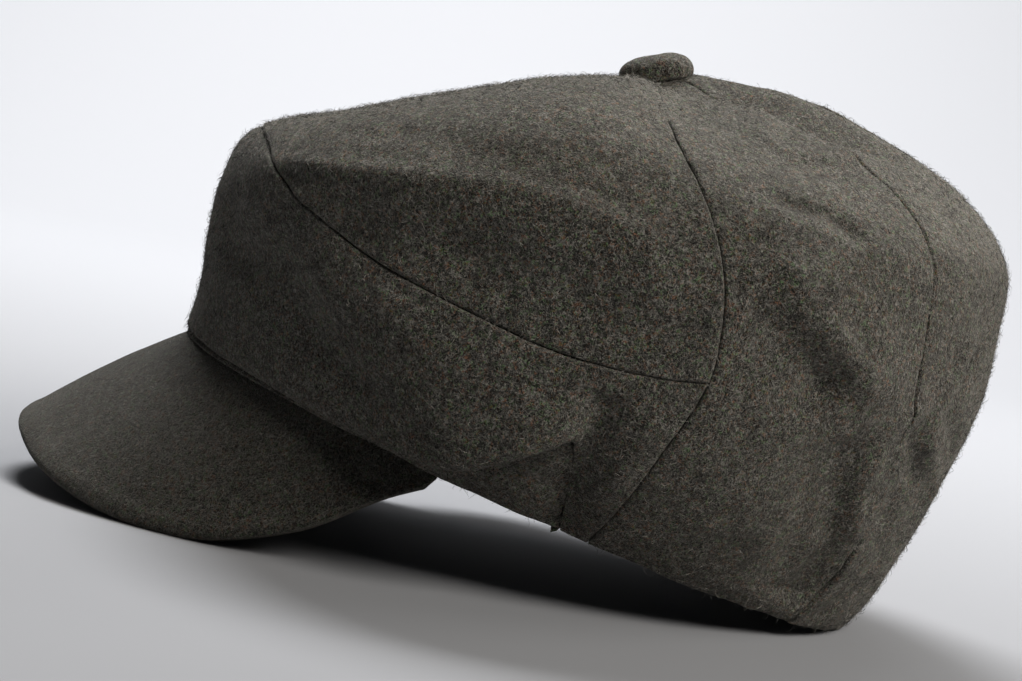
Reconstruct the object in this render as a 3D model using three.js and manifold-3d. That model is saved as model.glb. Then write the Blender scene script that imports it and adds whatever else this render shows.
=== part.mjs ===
// Newsboy cap: a soft crown of cloth panels on a round rim, a stiff arched peak and a covered button.
// Millimetres, +Z up, the peak towards -Y and the wearer's left towards +X. It rests by itself on z = 0.
import * as THREE from "three";
import { mergeVertices } from "three/addons/utils/BufferGeometryUtils.js";
import Module from "manifold-3d";

const wasm = await Module();
wasm.setup();

// Driving sizes of the rim, measured on its outer edge
const rimFront = 103;
const rimBack = 103.5;
const rimHalfWidth = 79;

// Driving sizes of the crown at its fullest, measured from its own middle
const crownFront = 108;
const crownBack = 119;
const crownHalfWidth = 106;
const crownHeight = 133;
const buttonAhead = 11;
const crownCorners = 0.05;
const sectionLength = 235;

// Folds of the cloth. They push along lines from a point inside the crown and die away at rim and button.
const foldWidth = 14;
const foldRise = 5;
const foldCentreAhead = 5.5;
const foldCentreUp = 53;
const foldFade = 14;
const otherSideTurn = 3.5;
const otherSideDown = 0.01;
const otherSideShare = 0.85;

// Cloth and seams
const clothThickness = 2;
const seamGap = 0.36;
const topHoleShare = 0.982;

// The front panel hangs over the band as a soft pouch on each side
const pouchOverhang = 7;
const pouchDroop = 8.5;

// Peak
const peakReach = 35;
const peakDrop = 48.5;
const peakHalfWidth = 79;
const peakThickness = 3.4;
const peakCrown = 1.2;
const peakRootAngle = 79;
const peakGap = 0.4;

// Button
const buttonWidth = 21.5;
const buttonHeight = 8;
const buttonTilt = 31;
const buttonBack = 1.6;
const buttonGap = 1.4;

// The cap is tipped back until peak and back rim touch the surface, and the touching cloth is flattened
const flattened = 0.7;

const clothColour = "#4a4743";
const peakColour = "#45433f";

// Crown sections from the rim up to the button.
// at: place along the section. rim: how much of the reach follows the rim, the rest follows the crown.
// front, back, side: reach as shares of the crown sizes. The last three: heights as shares of crownHeight.
const crownSections = [
  { at: 0.0, rim: 1.0, front: 1.0, back: 1.0, side: 1.0, frontUp: 0.0, sideUp: 0.012, backUp: 0.0 },
  { at: 0.08, rim: 0.6, front: 0.979, back: 0.98, side: 0.931, frontUp: 0.105, sideUp: 0.084, backUp: 0.09 },
  { at: 0.18, rim: 0.3, front: 1.0, back: 0.98, side: 0.974, frontUp: 0.21, sideUp: 0.18, backUp: 0.226 },
  { at: 0.3, rim: 0.1, front: 1.007, back: 0.985, side: 1.0, frontUp: 0.33, sideUp: 0.33, backUp: 0.391 },
  { at: 0.42, rim: 0, front: 0.981, back: 0.988, side: 1.0, frontUp: 0.43, sideUp: 0.496, backUp: 0.56 },
  { at: 0.52, rim: 0, front: 0.919, back: 0.962, side: 0.972, frontUp: 0.489, sideUp: 0.632, backUp: 0.733 },
  { at: 0.64, rim: 0, front: 0.75, back: 0.915, side: 0.872, frontUp: 0.572, sideUp: 0.76, backUp: 0.87 },
  { at: 0.76, rim: 0, front: 0.533, back: 0.743, side: 0.67, frontUp: 0.684, sideUp: 0.842, backUp: 0.967 },
  { at: 0.87, rim: 0, front: 0.319, back: 0.417, side: 0.413, frontUp: 0.783, sideUp: 0.889, backUp: 1.008 },
  { at: 0.96, rim: 0, front: 0.106, back: 0.106, side: 0.12, frontUp: 0.862, sideUp: 0.908, backUp: 0.97 },
  { at: 1.0, rim: 0, front: 0.0, back: 0.0, side: 0.0, frontUp: 0.906, sideUp: 0.906, backUp: 0.906 },
];

// The front panel from the centre front round to the cross seam: its lower edge above the band, which
// drops to the rim at the last rows, and its upper seam. Angles in degrees, at: place along the section.
const frontRows = [
  { row: 0.0, lowAngle: 0, lowAt: 0.013, topAngle: 0, topAt: 0.5, pouch: 0 },
  { row: 0.11, lowAngle: 25, lowAt: 0.013, topAngle: 20, topAt: 0.468, pouch: 0.1 },
  { row: 0.22, lowAngle: 50, lowAt: 0.015, topAngle: 40, topAt: 0.375, pouch: 0.3 },
  { row: 0.31, lowAngle: 65, lowAt: 0.028, topAngle: 55, topAt: 0.333, pouch: 0.7 },
  { row: 0.41, lowAngle: 77, lowAt: 0.068, topAngle: 68, topAt: 0.32, pouch: 1 },
  { row: 0.51, lowAngle: 85, lowAt: 0.126, topAngle: 80, topAt: 0.317, pouch: 1 },
  { row: 0.61, lowAngle: 91.5, lowAt: 0.19, topAngle: 88, topAt: 0.319, pouch: 0.7 },
  { row: 0.69, lowAngle: 95, lowAt: 0.205, topAngle: 95.5, topAt: 0.329, pouch: 0.25 },
  { row: 0.77, lowAngle: 97, lowAt: 0.15, topAngle: 101, topAt: 0.339, pouch: 0 },
  { row: 0.85, lowAngle: 98, lowAt: 0.075, topAngle: 104.5, topAt: 0.347, pouch: 0 },
  { row: 0.915, lowAngle: 99, lowAt: 0.008, topAngle: 106.2, topAt: 0.352, pouch: 0 },
  { row: 0.955, lowAngle: 100.3, lowAt: 0.0, topAngle: 107.7, topAt: 0.357, pouch: 0 },
  { row: 1.0, lowAngle: 103.5, lowAt: 0.0, topAngle: 109, topAt: 0.361, pouch: 0 },
];

// Shape of the pouch up the front panel: out as a share of pouchOverhang, down as a share of pouchDroop
const pouchShape = [
  { up: 0.0, out: 0.0, down: 0.0 },
  { up: 0.06, out: 0.62, down: 0.8 },
  { up: 0.14, out: 1.0, down: 0.78 },
  { up: 0.3, out: 0.8, down: 0.5 },
  { up: 0.6, out: 0.25, down: 0.15 },
  { up: 1.0, out: 0.0, down: 0.0 },
];

// Cross seam and rear seam, from the rim up to the button, as angles round the crown
const sideSeams = [
  { at: 0.0, cross: 103.5, rear: 145 },
  { at: 0.12, cross: 105.2, rear: 147 },
  { at: 0.24, cross: 107.1, rear: 146 },
  { at: 0.361, cross: 109, rear: 143 },
  { at: 0.46, cross: 107.3, rear: 141 },
  { at: 0.544, cross: 104.2, rear: 140 },
  { at: 0.628, cross: 99.9, rear: 139.3 },
  { at: 0.72, cross: 95.3, rear: 138.6 },
  { at: 0.82, cross: 92.6, rear: 138 },
  { at: 1.0, cross: 91, rear: 137 },
];
const junctionAt = 0.361;

// Outer edge of the peak from the centre to its end.
// root: share of peakRootAngle. across, ahead, drop: shares of half width, of rim and reach, of peakDrop.
const peakRows = [
  { root: 0.0, across: 0.0, ahead: 1.0, drop: 0.866 },
  { root: 0.15, across: 0.24, ahead: 0.977, drop: 0.893 },
  { root: 0.3, across: 0.468, ahead: 0.913, drop: 0.948 },
  { root: 0.45, across: 0.633, ahead: 0.837, drop: 0.977 },
  { root: 0.6, across: 0.772, ahead: 0.732, drop: 0.977 },
  { root: 0.73, across: 0.873, ahead: 0.616, drop: 0.932 },
  { root: 0.84, across: 0.949, ahead: 0.486, drop: 0.808 },
  { root: 0.92, across: 0.987, ahead: 0.348, drop: 0.563 },
  { root: 0.97, across: 0.997, ahead: 0.247, drop: 0.27 },
  { root: 1.0, across: 0.99, ahead: 0.155, drop: 0.05 },
];

// Broad folds on the wearer's left. angles and ats: the run over the skin, as angles and places along the
// section. width: share of foldWidth. rise: share of foldRise, below zero for a hollow.
const leftFolds = [
  { name: "shoulder ridge", angles: [34, 70, 95], ats: [0.4, 0.475, 0.49], width: 0.93, rise: 0.44 },
  { name: "hollow under shoulder", angles: [58, 88], ats: [0.36, 0.395], width: 1.0, rise: -0.48 },
  { name: "brow hollow", angles: [22, 66], ats: [0.24, 0.13], width: 1.0, rise: -0.6 },
  { name: "pouch belly", angles: [72, 94], ats: [0.15, 0.3], width: 1.1, rise: 0.5 },
  { name: "cheek dent", angles: [117, 124], ats: [0.42, 0.4], width: 0.8, rise: -0.6 },
  { name: "rear ridge", angles: [116, 133], ats: [0.54, 0.43], width: 0.8, rise: 0.5 },
  { name: "rear valley", angles: [131, 139], ats: [0.3, 0.08], width: 0.8, rise: -0.6 },
  { name: "valley to the rim", angles: [97, 99.5], ats: [0.277, 0.04], width: 0.6, rise: -0.4 },
  { name: "dip by button", angles: [148, 148.5, 152], ats: [0.905, 0.87, 0.84], width: 0.68, rise: -1.1 },
];

// The wearer's right has nearly the same folds mirrored, softer, a little further back and lower
const rightFolds = leftFolds.map((fold) => ({
  ...fold,
  angles: fold.angles.map((angle) => -angle - otherSideTurn),
  ats: fold.ats.map((at) => at - otherSideDown),
  rise: fold.rise * otherSideShare,
}));
const folds = [...leftFolds, ...rightFolds];

// Facets: columns of the front pieces on each side of the centre, rows below and above the seam junction
const frontColumns = 24;
const bandColumns = 22;
const panelRows = 12;
const bandRows = 2;
const lowerRows = 7;
const upperRows = 9;
const sideColumns = 12;
const backColumns = 10;
const peakColumns = 40;
const peakRowCount = 7;
const buttonFacets = 24;

// Rows of the front panel crowd towards its pouch by this power, and its last columns bend to the cross seam
const pouchCrowding = 1.5;
const seamFollowing = 12;

// The peak's crown lifts it up by this much for each millimetre out, and dies away towards its ends
const peakLiftUp = 0.8;
const peakEndFlatness = 4;

// Button profile: flat underside, height of its widest line, roundness of its shoulder and of its top
const buttonFlat = 0.82;
const buttonWidest = 0.4;
const buttonShoulder = 0.85;
const buttonTop = 0.6;

// Steps along the section and round the crown over which a normal is measured
const normalStep = 0.004;
const normalTurn = 1;

const radians = Math.PI / 180;

// Columns that read the same on both sides of the centre front, so their curves cross it level
const evenColumns = ["lowAt", "topAt", "pouch", "ahead", "drop"];

// Smooth curve through one column of a table, at place x of its key column
function curve(table, key, column, x) {
  const last = table.length - 1;
  const clamped = Math.min(Math.max(x, table[0][key]), table[last][key]);
  let k = 0;
  while (k < last - 1 && clamped > table[k + 1][key]) k++;
  const slope = (i) => {
    if (i === 0 && evenColumns.includes(column)) return 0;
    const from = table[Math.max(i - 1, 0)];
    const to = table[Math.min(i + 1, last)];
    return (to[column] - from[column]) / (to[key] - from[key]);
  };
  const span = table[k + 1][key] - table[k][key];
  const s = (clamped - table[k][key]) / span;
  const s2 = s * s;
  const s3 = s2 * s;
  return (
    (2 * s3 - 3 * s2 + 1) * table[k][column] +
    (s3 - 2 * s2 + s) * span * slope(k) +
    (3 * s2 - 2 * s3) * table[k + 1][column] +
    (s3 - s2) * span * slope(k + 1)
  );
}

// Distance in millimetres from a place on the skin to a fold's run, measured round the crown and up it
function distanceToFold(fold, angle, at, radius) {
  const round = radians * radius;
  const turn = THREE.MathUtils.euclideanModulo(angle - fold.angles[0] + 180, 360) - 180;
  let nearest = Infinity;
  for (let k = 0; k < fold.angles.length - 1; k++) {
    const fromTurn = fold.angles[k] - fold.angles[0];
    const here = new THREE.Vector2((turn - fromTurn) * round, (at - fold.ats[k]) * sectionLength);
    const run = new THREE.Vector2(
      (fold.angles[k + 1] - fold.angles[k]) * round,
      (fold.ats[k + 1] - fold.ats[k]) * sectionLength,
    );
    const share = THREE.MathUtils.clamp(here.dot(run) / run.lengthSq(), 0, 1);
    nearest = Math.min(nearest, here.distanceTo(run.multiplyScalar(share)));
  }
  return nearest;
}

// How far the folds lift or sink the skin there
function foldLift(angle, at, radius) {
  let lift = 0;
  for (const fold of folds) {
    const away = distanceToFold(fold, angle, at, radius) / (fold.width * foldWidth);
    lift += fold.rise * foldRise * Math.exp(-away * away);
  }
  return lift;
}

// Point of the crown's outer skin. The angle runs from the centre front, positive to the wearer's left.
function crownPoint(angle, at) {
  const cos = Math.cos(angle * radians);
  const sin = Math.sin(angle * radians);
  const section = (column) => curve(crownSections, "at", column, at);
  const rim = section("rim");
  const reach = (rimSize, share, crownSize) => rim * rimSize + (1 - rim) * share * crownSize;
  const middle = -buttonAhead * at;
  const ahead = reach(rimFront, section("front"), crownFront);
  const behind = reach(rimBack, section("back"), crownBack);
  const length = cos > 0 ? ahead : behind;
  const fuller = 1 + crownCorners * (1 - rim) * Math.sin(2 * angle * radians) ** 2;
  const width = reach(rimHalfWidth, section("side"), crownHalfWidth) * fuller;
  const sideUp = section("sideUp");
  const endUp = cos > 0 ? section("frontUp") : section("backUp");
  const height = crownHeight * (sideUp + (endUp - sideUp) * cos * cos);
  const smooth = new THREE.Vector3(width * sin, middle - cos * length, height);
  const out = smooth.clone().sub(new THREE.Vector3(0, -foldCentreAhead, foldCentreUp)).normalize();
  const fromRim = Math.min((at * sectionLength) / foldFade, 1);
  const fromTop = Math.min(((1 - at) * sectionLength) / foldFade, 1);
  return smooth.addScaledVector(out, foldLift(angle, at, width) * fromRim * fromTop);
}

// Point of the crown with its unit normal, pointing out
function skin(angle, at) {
  const around = crownPoint(angle + normalTurn, at).sub(crownPoint(angle - normalTurn, at));
  const above = crownPoint(angle, Math.min(at + normalStep, topHoleShare));
  const up = above.sub(crownPoint(angle, Math.max(at - normalStep, 0)));
  return { place: crownPoint(angle, at), normal: around.cross(up).normalize() };
}

// A wall from a grid of outer points: both skins and the strips along the four edges. Its edges draw in
// by half a seam gap, and the inner skin lies one thickness behind the outer one. A point may bring the
// normal that it shares with the piece across the seam.
function wall(points, thickness, gap) {
  const rows = points.length;
  const columns = points[0].length;
  const outer = [];
  const inner = [];
  for (let i = 0; i < rows; i++) {
    for (let j = 0; j < columns; j++) {
      const { place, normal } = points[i][j];
      const before = points[i][Math.max(j - 1, 0)].place;
      const right = points[i][Math.min(j + 1, columns - 1)].place.clone().sub(before);
      const below = points[Math.max(i - 1, 0)][j].place;
      const up = points[Math.min(i + 1, rows - 1)][j].place.clone().sub(below);
      const out = normal ?? right.clone().cross(up).normalize();
      const inward = new THREE.Vector3();
      if (i === 0) inward.add(out.clone().cross(right).normalize());
      if (i === rows - 1) inward.sub(out.clone().cross(right).normalize());
      if (j === 0) inward.add(up.clone().cross(out).normalize());
      if (j === columns - 1) inward.sub(up.clone().cross(out).normalize());
      const front = place.clone().addScaledVector(inward, gap / 2);
      outer.push(front);
      inner.push(front.clone().addScaledVector(out, -thickness));
    }
  }
  const positions = [...outer, ...inner].flatMap((p) => p.toArray());
  const index = [];
  const quad = (a, b, c, d) => index.push(a, b, c, a, c, d);
  const outside = (i, j) => i * columns + j;
  const inside = (i, j) => rows * columns + i * columns + j;
  for (let i = 0; i < rows - 1; i++) {
    for (let j = 0; j < columns - 1; j++) {
      quad(outside(i, j), outside(i, j + 1), outside(i + 1, j + 1), outside(i + 1, j));
      quad(inside(i, j), inside(i + 1, j), inside(i + 1, j + 1), inside(i, j + 1));
    }
  }
  const top = rows - 1;
  const end = columns - 1;
  for (let j = 0; j < end; j++) {
    quad(outside(0, j), inside(0, j), inside(0, j + 1), outside(0, j + 1));
    quad(outside(top, j), outside(top, j + 1), inside(top, j + 1), inside(top, j));
  }
  for (let i = 0; i < top; i++) {
    quad(outside(i, 0), outside(i + 1, 0), inside(i + 1, 0), inside(i, 0));
    quad(outside(i, end), inside(i, end), inside(i + 1, end), outside(i + 1, end));
  }
  const geometry = new THREE.BufferGeometry();
  geometry.setAttribute("position", new THREE.Float32BufferAttribute(positions, 3));
  geometry.setIndex(index);
  return geometry;
}

// Grid of points over two shares: along the panel and up it
function grid(along, up, point) {
  const points = [];
  for (let i = 0; i <= up; i++) {
    const line = [];
    for (let j = 0; j <= along; j++) line.push(point(j / along, i / up));
    points.push(line);
  }
  return points;
}

// Front panel: side runs from -1 (right cross seam) through the centre front to 1 (left cross seam)
function frontPanel() {
  const point = (along, upEven) => {
    const side = 2 * along - 1;
    const row = Math.abs(side);
    const up = Math.pow(upEven, pouchCrowding);
    const low = curve(frontRows, "row", "lowAt", row);
    const top = curve(frontRows, "row", "topAt", row);
    const at = low + (top - low) * up;
    const lowAngle = curve(frontRows, "row", "lowAngle", row);
    const topAngle = curve(frontRows, "row", "topAngle", row);
    const straight = lowAngle + (topAngle - lowAngle) * up;
    const last = frontRows[frontRows.length - 1];
    const endAt = last.lowAt + (last.topAt - last.lowAt) * up;
    const endStraight = last.lowAngle + (last.topAngle - last.lowAngle) * up;
    const toSeam = curve(sideSeams, "at", "cross", endAt) - endStraight;
    const angle = (straight + toSeam * Math.pow(row, seamFollowing)) * Math.sign(side);
    const pouch = Math.max(curve(frontRows, "row", "pouch", row), 0);
    const out = pouch * pouchOverhang * curve(pouchShape, "up", "out", up);
    const down = pouch * pouchDroop * curve(pouchShape, "up", "down", up);
    const { place, normal } = skin(angle, at);
    place.addScaledVector(normal, out);
    place.z -= down;
    const onSeam = up === 0 || up === 1 || row === 1;
    return { place, normal: onSeam ? normal : undefined };
  };
  return wall(grid(2 * frontColumns, panelRows, point), clothThickness, seamGap);
}

// Band below the front panel, from the rim to the panel's lower edge
function frontBand() {
  const endRow = bandColumns / frontColumns;
  const point = (along, up) => {
    const side = (2 * along - 1) * endRow;
    const row = Math.abs(side);
    const top = Math.max(curve(frontRows, "row", "lowAt", row), 0);
    const angle = curve(frontRows, "row", "lowAngle", row) * Math.sign(side);
    return skin(angle, top * up);
  };
  return wall(grid(2 * bandColumns, bandRows, point), clothThickness, seamGap);
}

// Top panel: from the front seam back to the two cross seams, up to the button
function topPanel() {
  const last = frontRows[frontRows.length - 1];
  const point = (along, up) => {
    const side = 2 * along - 1;
    const row = Math.abs(side);
    const low = curve(frontRows, "row", "topAt", row);
    const at = low + (topHoleShare - low) * up;
    const seamAt = junctionAt + (topHoleShare - junctionAt) * up;
    const share = curve(frontRows, "row", "topAngle", row) / last.topAngle;
    const angle = share * curve(sideSeams, "at", "cross", seamAt) * Math.sign(side);
    return skin(angle, at);
  };
  return wall(grid(2 * frontColumns, upperRows, point), clothThickness, seamGap);
}

// Rear panel between two seams, given as angles at a place up the section
function rearPanel(along, fromSeam, toSeam) {
  const rows = lowerRows + upperRows;
  const point = (share, up) => {
    const row = up * rows;
    const above = (row - lowerRows) / upperRows;
    const at = above < 0 ? (junctionAt * row) / lowerRows : junctionAt + (topHoleShare - junctionAt) * above;
    const from = fromSeam(at);
    return skin(from + (toSeam(at) - from) * share, at);
  };
  return wall(grid(along, rows, point), clothThickness, seamGap);
}

// Peak: from its root under the rim to its outer edge, arched and slightly crowned
function peak() {
  const point = (along, out) => {
    const side = 2 * along - 1;
    const root = Math.abs(side);
    const across = curve(peakRows, "root", "across", root) * peakHalfWidth * Math.sign(side);
    const ahead = curve(peakRows, "root", "ahead", root) * (rimFront + peakReach);
    const drop = curve(peakRows, "root", "drop", root) * peakDrop;
    const edge = new THREE.Vector3(across, -ahead, -drop);
    const start = crownPoint(side * peakRootAngle, 0);
    start.z -= peakGap;
    const p = start.lerp(edge, 1 - out);
    const arch = 4 * out * (1 - out) * (1 - Math.pow(root, peakEndFlatness));
    const away = crownPoint(side * peakRootAngle, 0).setZ(0).normalize();
    return { place: p.addScaledVector(away.setZ(peakLiftUp).normalize(), peakCrown * arch) };
  };
  return wall(grid(peakColumns, peakRowCount, point), peakThickness, 0);
}

// Button: a low dome with a flat underside, turned on a lathe
function button() {
  const radius = buttonWidth / 2;
  const edge = buttonHeight * buttonWidest;
  const shoulder = buttonHeight * buttonShoulder;
  const profile = new THREE.Path();
  profile.moveTo(0, 0);
  profile.lineTo(radius * buttonFlat, 0);
  profile.quadraticCurveTo(radius, 0, radius, edge);
  profile.bezierCurveTo(radius, shoulder, radius * buttonTop, buttonHeight, 0, buttonHeight);
  const geometry = new THREE.LatheGeometry(profile.getPoints(5), buttonFacets);
  geometry.rotateX(Math.PI / 2);
  return geometry;
}

// Joins equal corners, so that the geometry is one closed surface
function closed(geometry) {
  geometry.deleteAttribute("normal");
  geometry.deleteAttribute("uv");
  return mergeVertices(geometry, 1e-4);
}

function toSolid(geometry) {
  const vertProperties = new Float32Array(geometry.attributes.position.array);
  const triVerts = new Uint32Array(geometry.index.array);
  return new wasm.Manifold(new wasm.Mesh({ numProp: 3, vertProperties, triVerts }));
}

function toGeometry(solid) {
  const mesh = solid.getMesh();
  const geometry = new THREE.BufferGeometry();
  geometry.setAttribute("position", new THREE.BufferAttribute(mesh.vertProperties, 3));
  geometry.setIndex(new THREE.BufferAttribute(mesh.triVerts, 1));
  geometry.computeVertexNormals();
  return geometry;
}

// Lowest point of the peak seen from the back rim gives the angle at which the cap rests
function restAngle(peakGeometry, backPoint) {
  const position = peakGeometry.attributes.position;
  let angle = 0;
  for (let i = 0; i < position.count; i++) {
    const fall = backPoint.z - position.getZ(i);
    angle = Math.max(angle, Math.atan2(fall, backPoint.y - position.getY(i)));
  }
  return angle;
}

const cloth = new THREE.MeshStandardMaterial({ color: clothColour, roughness: 0.97, metalness: 0 });
const peakCloth = new THREE.MeshStandardMaterial({ color: peakColour, roughness: 0.97, metalness: 0 });

const crossSeam = (at) => curve(sideSeams, "at", "cross", at);
const rearSeam = (at) => curve(sideSeams, "at", "rear", at);
const backSeam = () => 180;
const mirrored = (seam) => (at) => 360 - seam(at);

const pieces = [
  ["peak", closed(peak()), peakCloth],
  ["front_band", closed(frontBand()), cloth],
  ["front_panel", closed(frontPanel()), cloth],
  ["top_panel", closed(topPanel()), cloth],
  ["back_side_left", closed(rearPanel(sideColumns, crossSeam, rearSeam)), cloth],
  ["back_centre_left", closed(rearPanel(backColumns, rearSeam, backSeam)), cloth],
  ["back_centre_right", closed(rearPanel(backColumns, backSeam, mirrored(rearSeam))), cloth],
  ["back_side_right", closed(rearPanel(sideColumns, mirrored(rearSeam), mirrored(crossSeam))), cloth],
];

const buttonGeometry = button();
const apex = crownPoint(0, 1);
buttonGeometry.translate(0, buttonBack, buttonGap);
buttonGeometry.rotateX(buttonTilt * radians);
buttonGeometry.translate(apex.x, apex.y, apex.z);
pieces.push(["button", closed(buttonGeometry), cloth]);

const tip = restAngle(pieces[0][1], crownPoint(180, 0));
for (const [, geometry] of pieces) geometry.rotateX(-tip);

const bounds = new THREE.Box3();
for (const [, geometry] of pieces) {
  geometry.computeBoundingBox();
  bounds.union(geometry.boundingBox);
}
const middle = bounds.getCenter(new THREE.Vector3());
const room = bounds.getSize(new THREE.Vector3());
const above = closed(new THREE.BoxGeometry(room.x * 2, room.y * 2, room.z * 2).translate(0, 0, room.z));
const aboveSurface = toSolid(above);

const cap = new THREE.Group();
for (const [name, geometry, material] of pieces) {
  geometry.translate(-middle.x, -middle.y, -bounds.min.z - flattened);
  const mesh = new THREE.Mesh(toGeometry(toSolid(geometry).intersect(aboveSurface)), material);
  mesh.name = name;
  cap.add(mesh);
}

export default cap;
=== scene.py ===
"""Newsboy cap in melange wool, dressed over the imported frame."""
import math

import bpy
import numpy as np
from mathutils import Matrix, Vector


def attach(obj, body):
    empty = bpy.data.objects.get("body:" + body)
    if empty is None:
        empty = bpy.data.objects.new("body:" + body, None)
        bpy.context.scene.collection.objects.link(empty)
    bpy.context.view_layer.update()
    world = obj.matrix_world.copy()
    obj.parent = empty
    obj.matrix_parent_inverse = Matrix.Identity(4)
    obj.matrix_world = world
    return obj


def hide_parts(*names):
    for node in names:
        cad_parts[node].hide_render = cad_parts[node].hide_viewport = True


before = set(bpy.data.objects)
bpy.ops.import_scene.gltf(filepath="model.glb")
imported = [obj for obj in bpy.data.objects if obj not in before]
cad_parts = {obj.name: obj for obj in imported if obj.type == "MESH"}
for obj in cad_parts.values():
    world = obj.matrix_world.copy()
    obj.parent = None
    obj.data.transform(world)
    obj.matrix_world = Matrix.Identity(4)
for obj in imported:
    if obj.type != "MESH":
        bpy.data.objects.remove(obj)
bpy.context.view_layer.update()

# Sizes below are in millimetres in the rim's own frame. The rest pose tips and shifts it onto the floor.
REST_TIP = 0.241369
REST_SHIFT = np.array([0.0075, 7.5265, 24.0398])

RIM_FRONT = 103.0
RIM_BACK = 103.5
RIM_HALF_WIDTH = 79.0
CROWN_FRONT = 108.0
CROWN_BACK = 119.0
CROWN_HALF_WIDTH = 106.0
CROWN_HEIGHT = 133.0
BUTTON_AHEAD = 11.0
CROWN_CORNERS = 0.05
SECTION_LENGTH = 235.0
FOLD_CENTRE_AHEAD = 5.5
FOLD_CENTRE_UP = 53.0
BROAD_FADE = 14.0
FINE_FADE = 7.0
RIM_FINE_SHARE = 0.3
TOP_HOLE_SHARE = 0.992
POUCH_OVERHANG = 7.0
POUCH_DROOP = 7.0
PEAK_REACH = 35.0
PEAK_DROP = 48.5
PEAK_HALF_WIDTH = 79.0
PEAK_THICKNESS = 3.4
PEAK_CROWN = 1.2
PEAK_ROOT_ANGLE = 79.0
PEAK_GAP = 0.4
BUTTON_WIDTH = 21.5
BUTTON_HEIGHT = 8.0
BUTTON_TILT = 33.0
BUTTON_GAP = -0.6
BUTTON_BACK = 1.6
JUNCTION_AT = 0.361
CLOTH = 1.7

# Length of each skin and its grid step in the middle, along it and then up it
FRONT_GRID = ((430, 1.35), (105, 1.25))
BAND_GRID = ((300, 1.35), (30, 0.9))
TOP_GRID = ((430, 1.5), (165, 1.25))
BACK_SIDE_GRID = ((75, 1.2), (235, 1.3))
BACK_CENTRE_GRID = ((70, 1.2), (235, 1.3))
PEAK_GRID = ((300, 1.4), (46, 0.9))
EDGE_STEP = 0.16
PEAK_EDGE_STEP = 0.25
EDGE_GROWTH = 1.28
EDGE_STEPS = 9

# Seams and cloth surface
SEAM_GAP = 0.3
SEAM_DEPTH = 0.75
SEAM_WIDTH = 0.5
PUCKER_RISE = 0.32
PUCKER_REACH = 4.0
TUCK_DEPTH = 2.2
TUCK_REACH = 4.0
FLOOR_CLEARANCE = 0.15

# The front panel's lower seam is sharp under the pouch and soft at its two ends
LIP_SEAM = 1.1
LIP_SEAM_LOSS = 0.8
LIP_END_ROW = 0.55
LIP_END_REACH = 0.12
FRONT_END_POWER = 12

# The band runs on behind the front panel, up its edge and past its ends
BAND_END_ROW = 0.915
BAND_END_REACH = 0.012
BAND_LAST_ROW = 0.935
BAND_TUCK_START = 0.35
BAND_TUCK_RUN = 0.5

# Uneven faces, as layers of rise and bump size
GATHERS = [(1.0, 6.5), (0.6, 3.2)]
CLOTH_UNEVEN = [(0.55, 19), (0.22, 8), (0.07, 2.3)]
PEAK_UNEVEN = [(0.16, 17), (0.08, 6), (0.04, 2.2)]
BUTTON_UNEVEN = [(0.22, 4.5), (0.08, 1.8)]
PEAK_SEED = 51
BUTTON_SEED = 61
FUZZ_SEED = 70

# Peak: how its upper face leans outward, the roll beside its edge, and the root tucked in under the rim
PEAK_LEAN = 0.8
PEAK_ROLL = 0.35
PEAK_ROLL_IN = 4.5
PEAK_ROLL_WIDTH = 2.2
PEAK_LOWER_LOSS = 0.05
PEAK_TUCK_AT = np.array([0.0, 0.008, 0.018])
PEAK_TUCK_UPPER = 0.1
PEAK_TUCK_LOWER = 1.5

# Button: profile as shares out and up, from the middle of its underside to the middle of its top
BUTTON_PROFILE = [
    (0.0, 0.0), (0.6, 0.0), (0.86, 0.02), (0.96, 0.12), (1.0, 0.3),
    (0.985, 0.5), (0.93, 0.67), (0.84, 0.8), (0.72, 0.89), (0.58, 0.95),
    (0.44, 0.985), (0.3, 1.0), (0.18, 0.99), (0.08, 0.965), (0.0, 0.955),
]
BUTTON_TURNS = 96
BUTTON_ROWS = 60
PLEATS = 17
PLEAT_DEPTH = 0.16
PLEAT_TURN = 1.3
PLEAT_POWER = 6

# Loose fibres: the middle and the tip lie these shares of the length along, up and aside
FIBRES_PER_CM2 = 70
FIBRE_SHORTEST = 1.0
FIBRE_LONGEST = 4.0
FIBRE_WIDTH = 0.09
FIBRE_RISE = (0.12, 0.75)
FIBRE_CURL = (-0.45, 0.45)
FIBRE_MIDDLE = (0.45, 0.5, 0.3)
FIBRE_TIP = (0.75, 0.55, 1.0)
FIBRE_TAPER = 0.8

# Multipliers that scatter the cells of the noise
CELL_PRIMES = (374761393, 668265263, 2147483647)
SEED_PRIME = 974711
SCATTER_PRIME = 1274126177

# Photograph: its size, the rim's middle in its pixels, its scale and its angle
PHOTO_WIDTH = 1022
PHOTO_HEIGHT = 681
RIM_CENTRE_PIXEL = (512.0, 477.0)
PIXELS_PER_MM = 3.45
CAMERA_DISTANCE = 900.0
CAMERA_ABOVE = 5.0
CAMERA_ROLL = math.atan2(0.416, 0.909)
SENSOR_WIDTH = 36

# Studio in metres: floor, bend and wall of the paper, and its half width
FLOOR_NEAR = 2.5
FLOOR_FAR = -1.0
WALL_BEND = 0.6
WALL_HEIGHT = 3.0
PAPER_HALF_WIDTH = 4.0
WORLD_LIGHT = 0.04
WORLD_SEEN = 0.75
LIGHTS = [
    ("key_light", (0.85, 0.85, 1.0), (0, 0, 0.08), 0.8, 22, (1.0, 0.96, 0.905)),
    ("floor_light", (-0.8, -0.2, 1.3), (-0.8, -0.2, 0), 0.7, 36, (0.98, 0.985, 1.0)),
    ("edge_light", (-0.5, 1.1, 0.45), (0, 0, 0.08), 0.5, 6, (1.0, 0.98, 0.95)),
    ("backdrop_light", (-0.75, 0.0, 1.55), (-1.65, 0, 0.7), 1.2, 36, (1.0, 1.0, 1.0)),
]


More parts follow.
